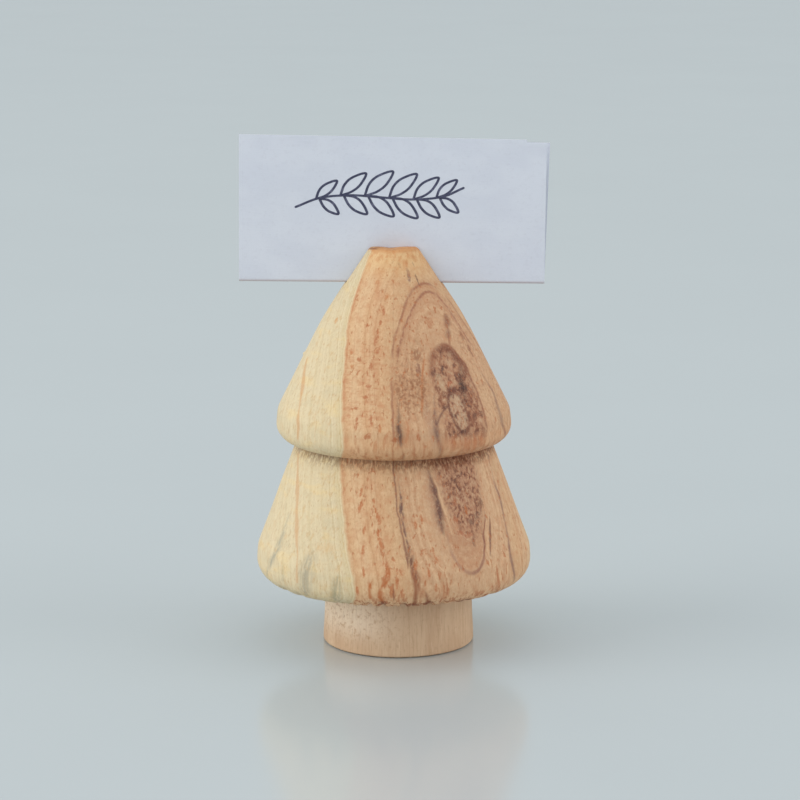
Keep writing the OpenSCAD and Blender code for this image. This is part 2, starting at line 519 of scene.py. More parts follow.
class TreeWood(Finish):
    """The tree's wood: growth rings round a leaning pith, with places on the skin told by bearing and level."""

    def __init__(self):
        super().__init__("tree_wood")
        sway_x, sway_y, _ = self.drift((8, 8, 26), 0.7)
        shiver_x, shiver_y, shiver_z = self.drift((1.1, 1.1, 2.2), 0.28)
        angle = self.calc("ARCTAN2", self.y, self.x)
        self.radius = self.calc("SQRT", self.total(self.times(self.x, self.x), self.times(self.y, self.y)))
        self.bearing = self.total(angle, self.calc("DIVIDE", shiver_x, self.radius))
        self.level = self.scaled(shiver_z, 0.5, self.z)
        self.height_share = self.scaled(self.level, 1 / tree_h, -underside_z / tree_h)
        self.turn_share = self.scaled(self.bearing, 1 / math.pi, 1.0)

        leaning_x = self.scaled(self.z, pith_lean, pith_x - pith_lean * pith_middle_z)
        off_x = self.total(self.x, sway_x, shiver_x, self.times(leaning_x, -1.0))
        off_y = self.total(self.y, sway_y, shiver_y, -pith_y)
        ring = self.calc("SQRT", self.total(self.times(off_x, off_x), self.times(off_y, off_y)))
        shrink = self.curve(self.height_share, [(height_share(z), share) for z, share in ring_shrink])
        self.ring = self.times(ring, self.scaled(shrink, 0.1, 1.0))
        stops = [(place / ring_reach, paint(*shade)) for place, shade in ring_colours]
        self.colour = self.ramp(self.calc("DIVIDE", self.ring, ring_reach), stops)
        self.heart = self.ease(self.ring, sap_ring, sap_ring - 0.2)
        self.sap = self.ease(self.ring, sap_ring, sap_ring + 0.3)
        self.upper = self.ease(self.z, neck_z - 0.3, neck_z)
        self.lower = self.calc("SUBTRACT", 1.0, self.upper)
        self.seen = self.ease(self.speckle((2.5, 2.5, 7), 1.3, 2.0), 0.3, 0.55)
        self.half_seen = self.ease(self.speckle((0.5, 0.5, 1.1), 7.7, 2.0), 0.3, 0.56)
        self.frayed = self.scaled(self.speckle((0.3, 0.3, 0.55), 26.0, 2.0, 0.6), 4.5, -2.2)

    def streaks(self, fineness, detail):
        """Noise that follows the growth rings."""
        settings = {"W": self.times(self.ring, fineness), "Scale": 1.0, "Detail": detail}
        return self.add("TexNoise", settings, noise_dimensions="1D").outputs["Fac"]

    def mostly(self, least):
        """A broken-up share that never falls below least."""
        return self.scaled(self.half_seen, 1 - least, least)

    def oval(self, degrees, z, across, along, tilt=0.0):
        """Squared distance from an oval that measures across by along from its middle, 1 on its rim."""
        place = (self.bearing, self.level, self.radius, math.radians(degrees), z)
        return self.oval_at(*place, *oval_turn(across, along, tilt))

    def arch(self, left, right, top, spring):
        """Distance outside an arch in the grain. Both legs are (degrees, z) and top is the crown's."""
        legs = [list(zip(*sorted((z, degrees) for degrees, z in leg))) for leg in (left, right)]
        middles, squares = [], []
        for z in sorted({z for _, z in (*left, *right)}):
            a, b = (np.interp(z, *leg) for leg in legs)
            half = math.radians(b - a) / 2 * radius_at(z)
            middles.append((height_share(z), 1 + (a + b) / 360))
            squares.append((height_share(z), half * half / 400))
        crown_bearing, crown_z = top
        middles.append((height_share(crown_z), 1 + crown_bearing / 180))
        squares.append((height_share(crown_z), 0.0))
        beside = self.calc("SUBTRACT", self.turn_share, self.curve(self.height_share, middles))
        beside = self.times(beside, self.radius, math.pi)
        span = self.times(self.curve(self.height_share, squares), 400.0)
        over = self.calc("MAXIMUM", self.calc("SUBTRACT", self.level, crown_z), 0.0)
        field = self.calc("SUBTRACT", self.scaled(beside, beside, self.times(over, spring)), span)
        slope = self.calc("SQRT", self.scaled(self.times(beside, beside), 4.0, spring * spring))
        return self.calc("DIVIDE", field, slope)

    def line(self, shade, width, strength, points, rough_by=None, soft=0.6):
        """Draws a line down the grain through (degrees, height, weight) points; weight thins it."""
        points = sorted(points, key=lambda p: p[1])
        course = [(height_share(z), 1 + degrees / 180) for degrees, z, _ in points]
        weight = [(place, heavy) for (place, _), (_, _, heavy) in zip(course, points)]
        end = 0.5 / tree_h
        weight = [(weight[0][0] - end, 0.0), *weight, (weight[-1][0] + end, 0.0)]
        off = self.calc("SUBTRACT", self.turn_share, self.curve(self.height_share, course))
        strength = strength if rough_by is None else self.times(rough_by, strength)
        weight = self.curve(self.height_share, weight)
        layer = (self.colour, paint(*shade), strength, off, self.radius, weight, -math.pi / width, soft)
        self.colour = self.add("Group", enumerate(layer), node_tree=line_node).outputs[0]

    def spot(self, shade, strength, degrees, z, across, along, tilt=0.0):
        """Paints a frayed oval that measures across by along from its middle, tilted in degrees."""
        place = (self.bearing, self.level, self.radius, math.radians(degrees), z)
        layer = (self.colour, paint(*shade), strength, self.frayed, *place, *oval_turn(across, along, tilt))
        self.colour = self.add("Group", enumerate(layer), node_tree=spot_node).outputs[0]

    def core_mottle(self, inside, weight, size, shift, pale):
        """Brown, near black and pale flecks that fill a stretch of dark core."""
        mottle = self.speckle(size, shift, 2.5, 0.55, 0.3)
        self.cover((178, 126, 96), inside, 0.6)
        self.cover((136, 84, 62), inside, self.ease(mottle, 0.47, 0.58), weight)
        self.cover((96, 60, 52), inside, self.ease(mottle, 0.57, 0.68), weight)
        self.cover((206, 174, 140), inside, self.ease(mottle, 0.45, 0.34), pale)


def rings_and_clouds(wood):
    """Growth rings, the rusty line where the heart ends, and soft clouds in both woods."""
    growth = wood.streaks(1.9, 4.0)
    wood.cover((190, 138, 100), wood.ease(growth, 0.5, 0.75), wood.heart, 0.4)
    wood.cover((234, 196, 154), wood.ease(growth, 0.48, 0.28), wood.heart, 0.35)
    fine = wood.streaks(6.0, 3.0)
    by_border = wood.times(
        wood.ease(wood.ring, sap_ring, sap_ring + 0.2), wood.ease(wood.ring, sap_ring + 2.8, sap_ring + 1.0),
    )
    wood.cover((238, 226, 190), wood.ease(fine, 0.5, 0.62), by_border, 0.4)
    wood.cover((206, 174, 126), wood.ease(fine, 0.48, 0.38), by_border, 0.3)

    border = wood.times(wood.bump_at(wood.ring, sap_ring - 0.3, 0.28), wood.seen)
    wood.cover((200, 134, 92), border, wood.scaled(wood.ease(wood.z, 30.0, 58.0), 0.35, 0.4))
    blush = wood.speckle((1.0, 1.0, 1.1), 21.0, 2.0, 0.5)
    wood.cover((204, 138, 96), wood.ease(blush, 0.46, 0.72), wood.heart, 0.36)
    wood.cover((236, 198, 154), wood.ease(blush, 0.48, 0.3), wood.heart, 0.3)

    cloud = wood.speckle((4, 4, 1.6), 8.8, 3.0)
    wood.cover((238, 210, 152), wood.ease(cloud, 0.52, 0.72), wood.sap, 0.5)
    wood.cover((210, 196, 162), wood.ease(cloud, 0.46, 0.3), wood.sap, 0.35)
    wood.cover((206, 182, 136), wood.ease(growth, 0.5, 0.75), wood.sap, 0.35)
    wood.cover((238, 222, 188), wood.ease(growth, 0.48, 0.28), wood.sap, 0.35)
    foxed = wood.speckle((0.7, 0.7, 1.6), 31.0, 3.0, 0.6)
    wood.cover((212, 176, 124), wood.ease(foxed, 0.5, 0.72), wood.sap, 0.5)


def sapwood_marks(wood):
    """Blue stain low down, two fine rings and two specks in the sapwood."""
    stain = wood.ease(wood.speckle((0.5, 0.5, 4.0), 12.0, 3.0), 0.26, 0.6)
    for shade, width, strength, soft, points in (
        ((172, 167, 147), 1.4, 0.95, 1.2, (
            (-149.2, 21.4, 0.5), (-149.5, 18, 0.8), (-151, 15.4, 1), (-154, 13.6, 0.8), (-157, 12.2, 0.7),
        )),
        ((172, 164, 142), 2.4, 0.9, 1.2, (
            (-127.2, 17.6, 0.5), (-128.4, 16.2, 0.9), (-129, 14.4, 1), (-129.2, 12.5, 0.9), (-130.5, 11, 0.8),
        )),
        ((168, 158, 128), 1.5, 0.95, 1.2, (
            (-113, 15, 0.4), (-113.4, 14, 0.9), (-114.2, 12.4, 1), (-115.2, 11, 1),
        )),
        ((190, 180, 150), 1.3, 0.6, 1.0, ((-143, 14.6, 0.4), (-143, 12.5, 0.8))),
    ):
        wood.line(shade, width, strength, points, stain, soft)
    wood.line((214, 162, 112), 0.8, 0.65, (
        (-164, 44, 0.6), (-158, 42.2, 0.9), (-153, 40.6, 1), (-150.4, 39.3, 0.6), (-147, 37.4, 0.5),
        (-144, 35.6, 0.8), (-143.3, 34.4, 0.7), (-143.5, 33.2, 0.4),
    ))
    wood.line((214, 166, 120), 0.7, 0.6, (
        (-160.8, 29.7, 0.8), (-154.5, 27.6, 0.8), (-149.4, 25.5, 1), (-145.2, 23.2, 0.8), (-141, 20.6, 0.9),
        (-137.6, 18.2, 0.7), (-134.6, 16, 0.5), (-133.4, 13, 0.6),
    ))
    wood.spot((224, 186, 134), 0.35, -120.8, 18.4, 1.8, 0.8)
    wood.spot((214, 160, 106), 0.7, -146.2, 50.2, 0.4, 0.4)


def upper_arches(wood):
    """Arched growth lines of the upper tier, round a core with a darker crown."""
    outer = wood.arch(
        ((-90.5, 34.9), (-91, 40.3), (-91.2, 45.7), (-89.8, 48.4), (-84.5, 51.1), (-76, 53.7), (-70, 54.6)),
        ((2, 43), (-8, 46.8), (-15, 49.8), (-18.8, 52.5), (-24, 53.8), (-29.4, 54.6)), (-48.8, 55.65), 7.0,
    )
    inner = wood.arch(
        ((-87.8, 45.6), (-86.2, 47.3), (-81.8, 49.7), (-76.5, 51.3), (-71.2, 52.6), (-61, 53.9)),
        ((-20, 45.8), (-22.8, 47.1), (-26.5, 49.5), (-29.2, 51.9), (-37, 53.9)), (-49, 54.5), 4.5,
    )
    core = wood.arch(
        ((-63.5, 32), (-64.5, 35), (-66, 38), (-67.2, 41), (-67.5, 43.9), (-66.2, 44.9), (-64, 46.3)),
        (
            (-35.5, 32.6), (-38, 34.6), (-38, 36.2), (-36.6, 37.8),
            (-36, 40), (-37, 41.8), (-38.2, 44.2), (-43.5, 46.3),
        ),
        (-53, 47.4), 4.5,
    )
    high = wood.ease(wood.level, 34.0, 36.0)
    wood.cover((200, 150, 112), wood.upper, wood.ease(outer, 0.3, -0.6), 0.22)
    wood.cover((146, 86, 64), wood.bump_at(outer, 0.0, 0.3), wood.seen, high, 0.75)
    wood.cover((190, 130, 94), wood.bump_at(outer, -0.3, 0.7), high, wood.seen, 0.35)
    wood.cover(
        (140, 84, 66), wood.bump_at(inner, 0.0, 0.3), wood.ease(wood.level, 44.5, 47.5), wood.half_seen, 0.8,
    )
    wood.cover((186, 128, 96), wood.bump_at(inner, -0.2, 0.8), wood.ease(wood.level, 45.0, 48.5), 0.4)

    paler_below = wood.scaled(wood.ease(wood.level, 32.6, 36.4), 0.55, 0.45)
    inside = wood.times(wood.upper, wood.ease(core, 0.2, -0.9), paler_below)
    wood.core_mottle(inside, 0.75, (0.75, 0.75, 1.1), 5.1, 0.55)
    crown = wood.ease(wood.level, 41.0, 44.5)
    wood.cover((150, 94, 68), wood.bump_at(core, -0.35, 0.75), crown, wood.mostly(0.5), 0.75)
    wood.cover(
        (124, 74, 56), wood.bump_at(core, -0.6, 1.1), wood.ease(wood.level, 41.5, 44.5),
        wood.ease(wood.bearing, -1.1, -0.8), wood.mostly(0.5), 0.85,
    )
    right_leg = wood.ease(wood.bearing, -1.0, -0.85)
    wood.cover((146, 90, 66), wood.bump_at(core, -0.1, 0.36), wood.upper, right_leg, 0.75)
    return outer, core


dark = (96, 62, 58)
purple = (128, 92, 88)
brown = (150, 94, 66)
rust = (184, 108, 66)
orange = (200, 130, 80)


def upper_lines(wood):
    """Lines and strokes of the upper tier, left, below and right of the core."""
    wood.line((186, 148, 122), 1.0, 0.5, (
        (-73, 41.4, 0.5), (-72.4, 39, 0.9), (-71.9, 37.2, 1), (-70.5, 34.5, 0.8), (-69.5, 32.4, 0.7),
    ), soft=1.0)
    wood.line((108, 74, 70), 0.85, 0.85, (
        (-66.6, 41.2, 0.3), (-67.4, 40, 0.5), (-68, 38.6, 0.7), (-68.8, 36.8, 1), (-68.5, 35.1, 1),
        (-67.2, 33.4, 0.95), (-66.4, 31.6, 0.9),
    ), wood.mostly(0.5), 1.1)
    wood.line((118, 80, 68), 0.5, 0.75, (
        (-68.8, 36.6, 0.6), (-66.4, 37.4, 0.8), (-63.6, 38.3, 1), (-60.4, 39.0, 0.8),
    ), soft=1.0)
    wood.line(brown, 0.4, 0.55, ((-64.4, 35.6, 0.5), (-63.7, 34.2, 0.8), (-63, 32, 0.9)), wood.half_seen)
    wood.line((84, 54, 50), 0.9, 0.95, (
        (-88, 40.4, 0.3), (-87.6, 38.6, 0.55), (-87.3, 37.2, 0.75), (-87.1, 36.1, 1), (-86.9, 35.0, 1),
        (-86.3, 33.8, 0.5),
    ), soft=1.1)
    wood.line((176, 110, 68), 1.2, 0.6, (
        (-89.4, 36, 0.3), (-88.8, 34.6, 1), (-87.4, 33.4, 0.6),
    ), wood.half_seen, 1.3)
    wood.line((180, 112, 70), 1.0, 0.5, (
        (-84, 37.6, 0.3), (-83.6, 36, 1), (-84.4, 34.4, 0.6),
    ), wood.half_seen, 1.3)
    wood.line(dark, 0.5, 0.7, ((-85.6, 32.8, 0.5), (-85, 31.8, 0.9)), soft=0.9)
    wood.line((196, 124, 78), 0.3, 0.85, (
        (-68.8, 46.1, 0.5), (-70.4, 44.9, 0.8), (-72, 43.4, 1), (-73.8, 41.2, 1), (-74.6, 39.4, 0.9),
        (-74.8, 38.2, 0.5),
    ), soft=0.8)
    wood.line((200, 134, 90), 0.35, 0.6, ((-98, 34.8, 0.5), (-98.6, 33.6, 1), (-98.9, 32, 0.8)))
    wood.line((196, 128, 84), 0.35, 0.6, ((-92.2, 36, 0.5), (-94, 35, 1), (-94.4, 33.6, 0.8)))
    wood.line((196, 128, 84), 0.3, 0.55, ((-83.5, 37.4, 0.5), (-83, 36, 1), (-83.6, 34.6, 0.8)))
    for degrees, z, width in (
        (-75, 34.2, 0.35), (-61.8, 34.2, 0.5), (-55.8, 34.2, 0.5), (-50.4, 34.0, 0.4), (-46.6, 34.2, 0.5),
        (-80, 34, 0.3), (-90, 33.6, 0.35),
    ):
        wood.line((176, 100, 62), width, 0.8, ((degrees - 0.6, z, 0.6), (degrees, z - 2.2, 1)), soft=1.0)
    wood.line((122, 66, 50), 1.25, 0.9, (
        (-37.6, 51.4, 0.3), (-38.2, 50.8, 0.9), (-40.4, 50, 1), (-42.4, 49.3, 0.7), (-44, 48.6, 0.9),
        (-44.8, 47.9, 0.4),
    ), wood.mostly(0.7), 1.2)
    wood.line((168, 112, 82), 0.3, 0.7, ((-44.6, 48.4, 0.8), (-45.4, 47.5, 1), (-45.8, 46.8, 1)), soft=0.8)
    wood.line((126, 86, 80), 0.85, 0.85, (
        (-24.2, 42.2, 0.4), (-21, 40.4, 0.6), (-20.6, 39.1, 0.8), (-22.6, 37.4, 0.9), (-23.5, 35.6, 1),
        (-22, 34.2, 1), (-17.4, 32.7, 0.8),
    ), soft=0.9)
    wood.line((172, 124, 98), 0.9, 0.35, (
        (-27, 44, 0.6), (-24.6, 40.5, 0.9), (-26, 37.5, 1), (-26, 34.5, 0.8),
    ), wood.half_seen, 1.2)

    wood.spot((218, 180, 138), 0.4, -26.5, 38.0, 2.0, 5.5, 8)
    for degrees, z in ((-62.2, 32.9), (-57.6, 33.4), (-37.6, 33.6)):
        wood.line((230, 188, 148), 1.1, 0.6, ((degrees - 1.0, z + 1.4, 0.5), (degrees, z - 0.6, 1)), soft=1.0)
    for degrees, z in ((-59.8, 34.0), (-52.6, 33.6), (-47.4, 33.4), (-42.0, 33.8)):
        wood.line((178, 94, 54), 1.0, 0.7, ((degrees - 0.8, z + 0.8, 0.6), (degrees, z - 1.0, 1)), soft=1.0)


def knot(wood):
    """The pale eye of the core, ringed with bark brown, and the blackened grain beside it."""
    eye = wood.oval(-54.2, 38.1, 1.4, 3.0, 6)
    rim = wood.mostly(0.6)
    worn = wood.ease(wood.speckle((0.45, 0.45, 0.6), 17.0, 2.0, 0.6), 0.62, 0.4)
    wood.cover((204, 174, 142), wood.ease(eye, 1.1, 0.5), worn, 0.62)
    wood.cover((108, 64, 52), wood.bump_at(eye, 1.05, 0.55), rim, wood.ease(wood.bearing, -0.82, -0.95), 0.85)
    wood.cover((126, 76, 60), wood.bump_at(eye, 1.1, 0.5), rim, 0.34)
    wood.spot((98, 62, 54), 0.85, -54.3, 35.3, 0.55, 0.3, 12)
    wood.line((88, 52, 44), 1.3, 0.92, (
        (-43.4, 44.2, 0.4), (-44.6, 43.4, 0.8), (-46.2, 42.5, 1), (-47.2, 41.2, 1), (-47.9, 40, 0.9),
        (-48.6, 38.8, 0.5),
    ), wood.mostly(0.6), 1.3)
    wood.spot((74, 44, 40), 0.9, -46.7, 41.4, 0.6, 0.9, 14)
    wood.spot((88, 58, 56), 0.8, -57.4, 43.9, 0.26, 0.8, 4)
    wood.spot((112, 70, 58), 0.65, -64.6, 43.6, 0.4, 0.5)
    wood.spot((202, 168, 134), 0.7, -61.0, 42.2, 0.6, 1.5, 10)
    wood.spot((206, 172, 138), 0.6, -51.6, 44.9, 0.7, 0.4, -20)
    wood.spot((178, 96, 60), 0.75, -55.2, 42.0, 0.5, 0.4)
    for degrees, z, across, along, tilt in (
        (-44.8, 39.5, 0.6, 0.9, 10), (-42.6, 37.9, 0.5, 0.8, 0), (-48.2, 36.6, 0.6, 0.7, 15),
        (-45.0, 35.6, 0.5, 0.6, 0), (-41.2, 34.5, 0.8, 0.7, 10), (-50.6, 34.6, 0.6, 0.5, 0),
        (-40.4, 40.6, 0.35, 0.9, 12), (-63.4, 40.2, 0.45, 0.9, 0),
    ):
        wood.spot((138, 80, 56), 0.6, degrees, z, across, along, tilt)


def upper_flecks(wood):
    """Rust and brown flecks of the upper tier."""
    for shade, degrees, z, across, along, tilt in (
        (brown, -28.8, 47.9, 0.45, 0.75, 8), (brown, -26.8, 46.1, 0.6, 0.45, 0),
        ((140, 90, 64), -26.2, 45.2, 0.3, 0.5, 0), ((196, 138, 100), -58.2, 50.4, 0.8, 0.7, 0),
        (rust, -76.8, 50.0, 0.26, 0.3, 0), ((158, 106, 76), -73.6, 46.2, 0.8, 0.8, 0),
        ((150, 104, 84), -74.4, 44.2, 0.6, 0.9, 8), (brown, -79.4, 58.3, 0.24, 0.5, 8),
        (rust, -67.2, 58.6, 0.26, 0.45, 0), (purple, -68.6, 57.0, 0.34, 1.0, 4),
        (dark, -57.4, 56.2, 0.17, 0.8, 6), (purple, -54.2, 58.4, 0.17, 0.45, 10),
        (rust, -51.0, 59.2, 0.3, 0.3, 0), (orange, -97.4, 54.2, 0.34, 0.4, 0),
        (rust, -101.2, 50.7, 0.32, 0.32, 0), (rust, -99.2, 52.2, 0.3, 0.5, 0),
        (rust, -103.1, 48.5, 0.36, 0.9, 0), (rust, -101.2, 46.7, 0.34, 0.34, 0),
        (rust, -104.4, 44.8, 0.38, 0.75, 0), (rust, -102.3, 43.6, 0.3, 0.3, 0),
        (orange, -120.0, 46.3, 0.4, 0.28, 0), (rust, -113.2, 45.6, 0.6, 0.36, -20),
        (orange, -117.4, 44.5, 0.4, 0.34, 0), (rust, -112.9, 50.3, 0.5, 0.26, 0),
        (orange, -111.7, 56.0, 0.45, 0.3, 0), (rust, -108.6, 36.9, 0.3, 0.85, 8),
        (rust, -101.4, 37.5, 0.3, 0.8, 10), ((180, 100, 56), -102.3, 35.3, 0.75, 0.36, 30),
        ((170, 88, 44), -89.6, 34.8, 0.5, 0.4, 0), (rust, -78.2, 35.2, 0.4, 0.6, 20),
        ((156, 88, 56), -58.9, 34.7, 0.5, 0.4, 0), (rust, -106, 40.6, 0.6, 0.22, 0),
        (rust, -110.4, 39, 0.5, 0.26, 0), (rust, -104.4, 42, 0.5, 0.24, 0), (orange, -96.6, 36.4, 0.3, 0.5, 0),
        (rust, -108.4, 34.6, 0.3, 0.6, 0),
    ):
        wood.spot(shade, 0.78, degrees, z, across * 0.78, along, tilt)
    wood.line((208, 152, 110), 1.0, 0.6, (
        (-108, 58.6, 0.6), (-109, 56.4, 1), (-107, 53.4, 1), (-105.4, 50, 0.8), (-104.6, 46, 0.6),
    ), wood.seen, 1.2)


def upper_mottles(wood, outer, core):
    """Mottles between the arches, and short level strokes in the brown wood left of them."""
    between = wood.times(
        wood.upper, wood.ease(outer, -0.2, -0.6), wood.ease(core, 0.2, 0.9),
        wood.ease(wood.bearing, -1.1, -1.25), wood.ease(wood.level, 51.0, 46.0),
        wood.ease(wood.level, 36.0, 39.0),
    )
    crowd = wood.ease(wood.oval(-79.6, 41.6, 2.3, 2.2, -8), 2.2, 0.0)
    bits = wood.speckle((0.42, 0.42, 0.6), 11.1, 2.0, 0.5)
    wood.cover((152, 98, 64), between, wood.ease(bits, 0.42, 0.7), 0.45)
    wood.cover((180, 128, 92), crowd, 0.35)
    wood.cover((146, 94, 62), crowd, wood.ease(bits, 0.36, 0.66), 0.62)
    right_side = wood.times(
        wood.upper, wood.ease(outer, -0.1, -0.5), wood.ease(core, 0.1, 0.6),
        wood.ease(wood.bearing, -0.75, -0.6),
    )
    wood.cover((166, 112, 80), right_side, wood.ease(bits, 0.5, 0.66), 0.4)
    rungs = wood.speckle((1.0, 1.0, 0.34), 14.0, 1.0, 0.5)
    ladder = wood.times(
        wood.upper, wood.heart, wood.ease(outer, 0.6, 1.6), wood.ease(wood.z, 50.0, 45.5),
        wood.ease(wood.z, 35.0, 38.0),
    )
    wood.cover((200, 130, 90), ladder, wood.ease(rungs, 0.48, 0.72), 0.45)


def tongue_and_loop(wood):
    """The end of the core in the lower tier: a pointed tongue with a loop of grain round it."""
    tongue = wood.ease(wood.oval(-51.6, 28.4, 3.7, 9.1), 1.3, 0.45)
    loop = wood.oval(-55.3, 19.6, 3.15, 4.9)
    below = wood.ease(wood.level, 21.6, 19.0)
    wood.cover((196, 144, 108), wood.lower, wood.ease(loop, 1.0, 0.6), 0.3)
    wood.core_mottle(wood.times(wood.lower, tongue), 0.7, (0.5, 0.5, 0.8), 6.3, 0.5)
    wood.cover(
        (142, 88, 66), wood.bump_at(loop, 1.0, 0.17), below, wood.ease(wood.bearing, -1.04, -0.92),
        wood.mostly(0.6), 0.85,
    )
    wood.cover((168, 122, 102), wood.bump_at(loop, 1.0, 0.24), below, wood.seen, 0.6)
    wood.cover((188, 130, 94), wood.bump_at(loop, 0.66, 0.2), below, wood.half_seen, 0.4)
    wood.line((148, 92, 70), 0.34, 0.8, (
        (-47.4, 17.2, 0.5), (-46, 18.2, 0.9), (-44.6, 20.1, 1), (-41.8, 21.6, 0.8), (-40.6, 22.8, 0.4),
    ), soft=0.9)
    wood.line((120, 72, 56), 0.34, 0.85, (
        (-38.4, 21.6, 0.6), (-39.6, 20.6, 0.9), (-41.2, 19.2, 1), (-42.6, 18, 0.9), (-43.9, 16.7, 0.6),
    ), soft=0.9)
    wood.line((228, 184, 142), 0.3, 0.6, ((-45.3, 16.6, 0.5), (-43.9, 18.2, 1), (-42.2, 20, 0.7)))
    for shade, degrees, z, across, along, tilt in (
        ((176, 96, 58), -59.4, 22.2, 0.35, 0.6, 10), ((170, 92, 60), -57.6, 20.4, 0.7, 0.32, -24),
        ((176, 96, 60), -53.6, 19.9, 0.7, 0.3, 10), ((164, 92, 60), -58.2, 24.8, 0.35, 0.7, 0),
        ((112, 74, 56), -41.8, 23.9, 0.6, 0.7, 0), ((120, 78, 60), -52.0, 18.8, 0.3, 0.6, 0),
        ((150, 92, 64), -58.8, 29.6, 0.5, 0.7, 0), ((106, 72, 62), -50.6, 21.8, 0.6, 0.5, 0),
        ((108, 72, 60), -46.4, 22.4, 0.7, 0.6, 20),
    ):
        wood.spot(shade, 0.6, degrees, z, across, along, tilt)


def lower_lines(wood):
    """Long lines down the grain of the lower tier, and its rust flecks."""
    wood.line((138, 90, 70), 0.26, 0.8, (
        (-90.2, 30.6, 0.9), (-90, 29.8, 0.9), (-89.2, 28, 0.8), (-88.5, 25, 0.8), (-87.2, 22.9, 0.8),
        (-86.2, 21.1, 0.9), (-85, 18.9, 1), (-84, 16.6, 0.7),
    ), soft=0.8)
    wood.line((172, 128, 100), 1.5, 0.4, (
        (-88.4, 29.8, 0.6), (-87.4, 27.6, 0.9), (-86.4, 24.6, 0.9), (-84.6, 20.6, 0.9), (-82.4, 16.8, 0.9),
        (-79, 12, 0.8),
    ), soft=1.3)
    wood.line((98, 68, 68), 0.42, 0.88, (
        (-87.2, 27.8, 0.35), (-86.8, 27, 0.55), (-86.2, 25.6, 0.9), (-86, 24.2, 1), (-85.8, 22.9, 0.9),
        (-84.9, 21.6, 0.8), (-84.2, 20.2, 0.8), (-83.6, 18.9, 0.7),
    ), wood.half_seen, 1.0)
    wood.line((112, 72, 58), 0.85, 0.88, (
        (-84, 19.8, 0.3), (-83.4, 18.6, 0.7), (-83, 17.8, 0.9), (-82.2, 16.6, 1), (-81.2, 15.2, 0.9),
        (-80.6, 14.2, 0.7), (-79.8, 13.2, 0.4),
    ), wood.half_seen, 1.0)
    wood.line((168, 98, 60), 0.8, 0.6, (
        (-82, 17, 0.4), (-80.4, 15.2, 0.9), (-79.2, 13.2, 1), (-78, 11.6, 0.9),
    ), wood.half_seen, 1.2)
    wood.line((172, 130, 108), 1.4, 0.4, (
        (-71.4, 29.4, 0.7), (-70.6, 27.2, 0.9), (-70, 25, 1), (-69.4, 22.8, 0.9), (-68.2, 20.8, 0.6),
    ), soft=1.2)
    wood.line((108, 72, 64), 1.0, 0.92, (
        (-70.2, 29.2, 0.5), (-69, 27.6, 0.8), (-68, 26.4, 1), (-67.4, 25.1, 1), (-67.2, 23.3, 1),
        (-67.3, 21.8, 0.8), (-66.6, 20.4, 0.4),
    ), wood.mostly(0.5), 1.0)
    wood.line((232, 190, 148), 0.42, 0.75, (
        (-68, 28.6, 0.4), (-66.5, 26.7, 0.8), (-65, 24.6, 1), (-63.8, 22.8, 0.8), (-62.6, 20.7, 0.5),
    ), soft=0.9)
    wood.line((116, 82, 82), 0.6, 0.85, (
        (-20.8, 30.4, 0.7), (-22, 29, 0.6), (-23.2, 28, 0.4), (-24.5, 25.9, 0.8), (-24.2, 23.8, 1),
        (-26, 21.7, 0.8), (-27.2, 20.2, 0.7), (-29, 18, 0.8), (-31.2, 15.7, 1), (-30.4, 13.4, 1),
        (-28.5, 11.5, 0.8),
    ), wood.mostly(0.5), 1.0)
    wood.line((184, 136, 104), 0.9, 0.4, (
        (-24, 26, 0.7), (-26, 21.7, 0.9), (-30, 16, 1), (-29, 12, 0.8),
    ), soft=1.3)
    wood.line((186, 112, 68), 0.34, 0.75, (
        (-42.4, 15.2, 0.4), (-42, 14.2, 0.8), (-41.4, 12.8, 1), (-39, 11, 1),
    ))
    for degrees, z, across, along, tilt in (
        (-107, 26.6, 0.32, 0.8, -8), (-106.7, 24.6, 0.36, 0.95, -14), (-99.9, 25.2, 0.26, 0.6, 5),
        (-98.9, 24.3, 0.26, 0.6, 16), (-97.5, 23.2, 0.4, 0.95, 14), (-97.0, 21.1, 0.24, 0.7, 6),
        (-95.9, 19.6, 0.42, 1.1, 12), (-103.3, 18.5, 0.34, 0.8, -5), (-103.6, 21.4, 0.26, 0.6, 0),
        (-94.4, 17.2, 0.22, 0.6, 5), (-92.9, 16.0, 0.34, 1.3, 6), (-93.6, 14.3, 0.55, 0.95, -10),
        (-102.5, 15.6, 0.26, 0.8, 5), (-99.4, 13.7, 0.4, 0.5, 25), (-95.2, 11.9, 0.6, 1.1, 0),
        (-76.7, 22.9, 0.28, 0.6, 8), (-79.7, 22.2, 0.26, 0.55, 0), (-72.6, 18.3, 0.3, 0.7, 8),
        (-71.6, 17.4, 0.24, 0.6, 14), (-80.6, 16.7, 0.3, 0.9, 0), (-52.4, 23.4, 0.24, 0.8, -5),
        (-88.6, 14.2, 0.3, 0.9, 0), (-86.4, 12.4, 0.4, 0.9, 8), (-90.8, 12.4, 0.35, 0.8, -6),
        (-75.2, 15.4, 0.26, 0.8, 6), (-72.4, 13.2, 0.3, 0.7, 0), (-68.6, 12.0, 0.4, 0.6, 0),
        (-104.8, 12.8, 0.3, 0.7, 0),
    ):
        wood.spot((192, 112, 64), 0.78, degrees, z, across * 0.75, along, tilt)


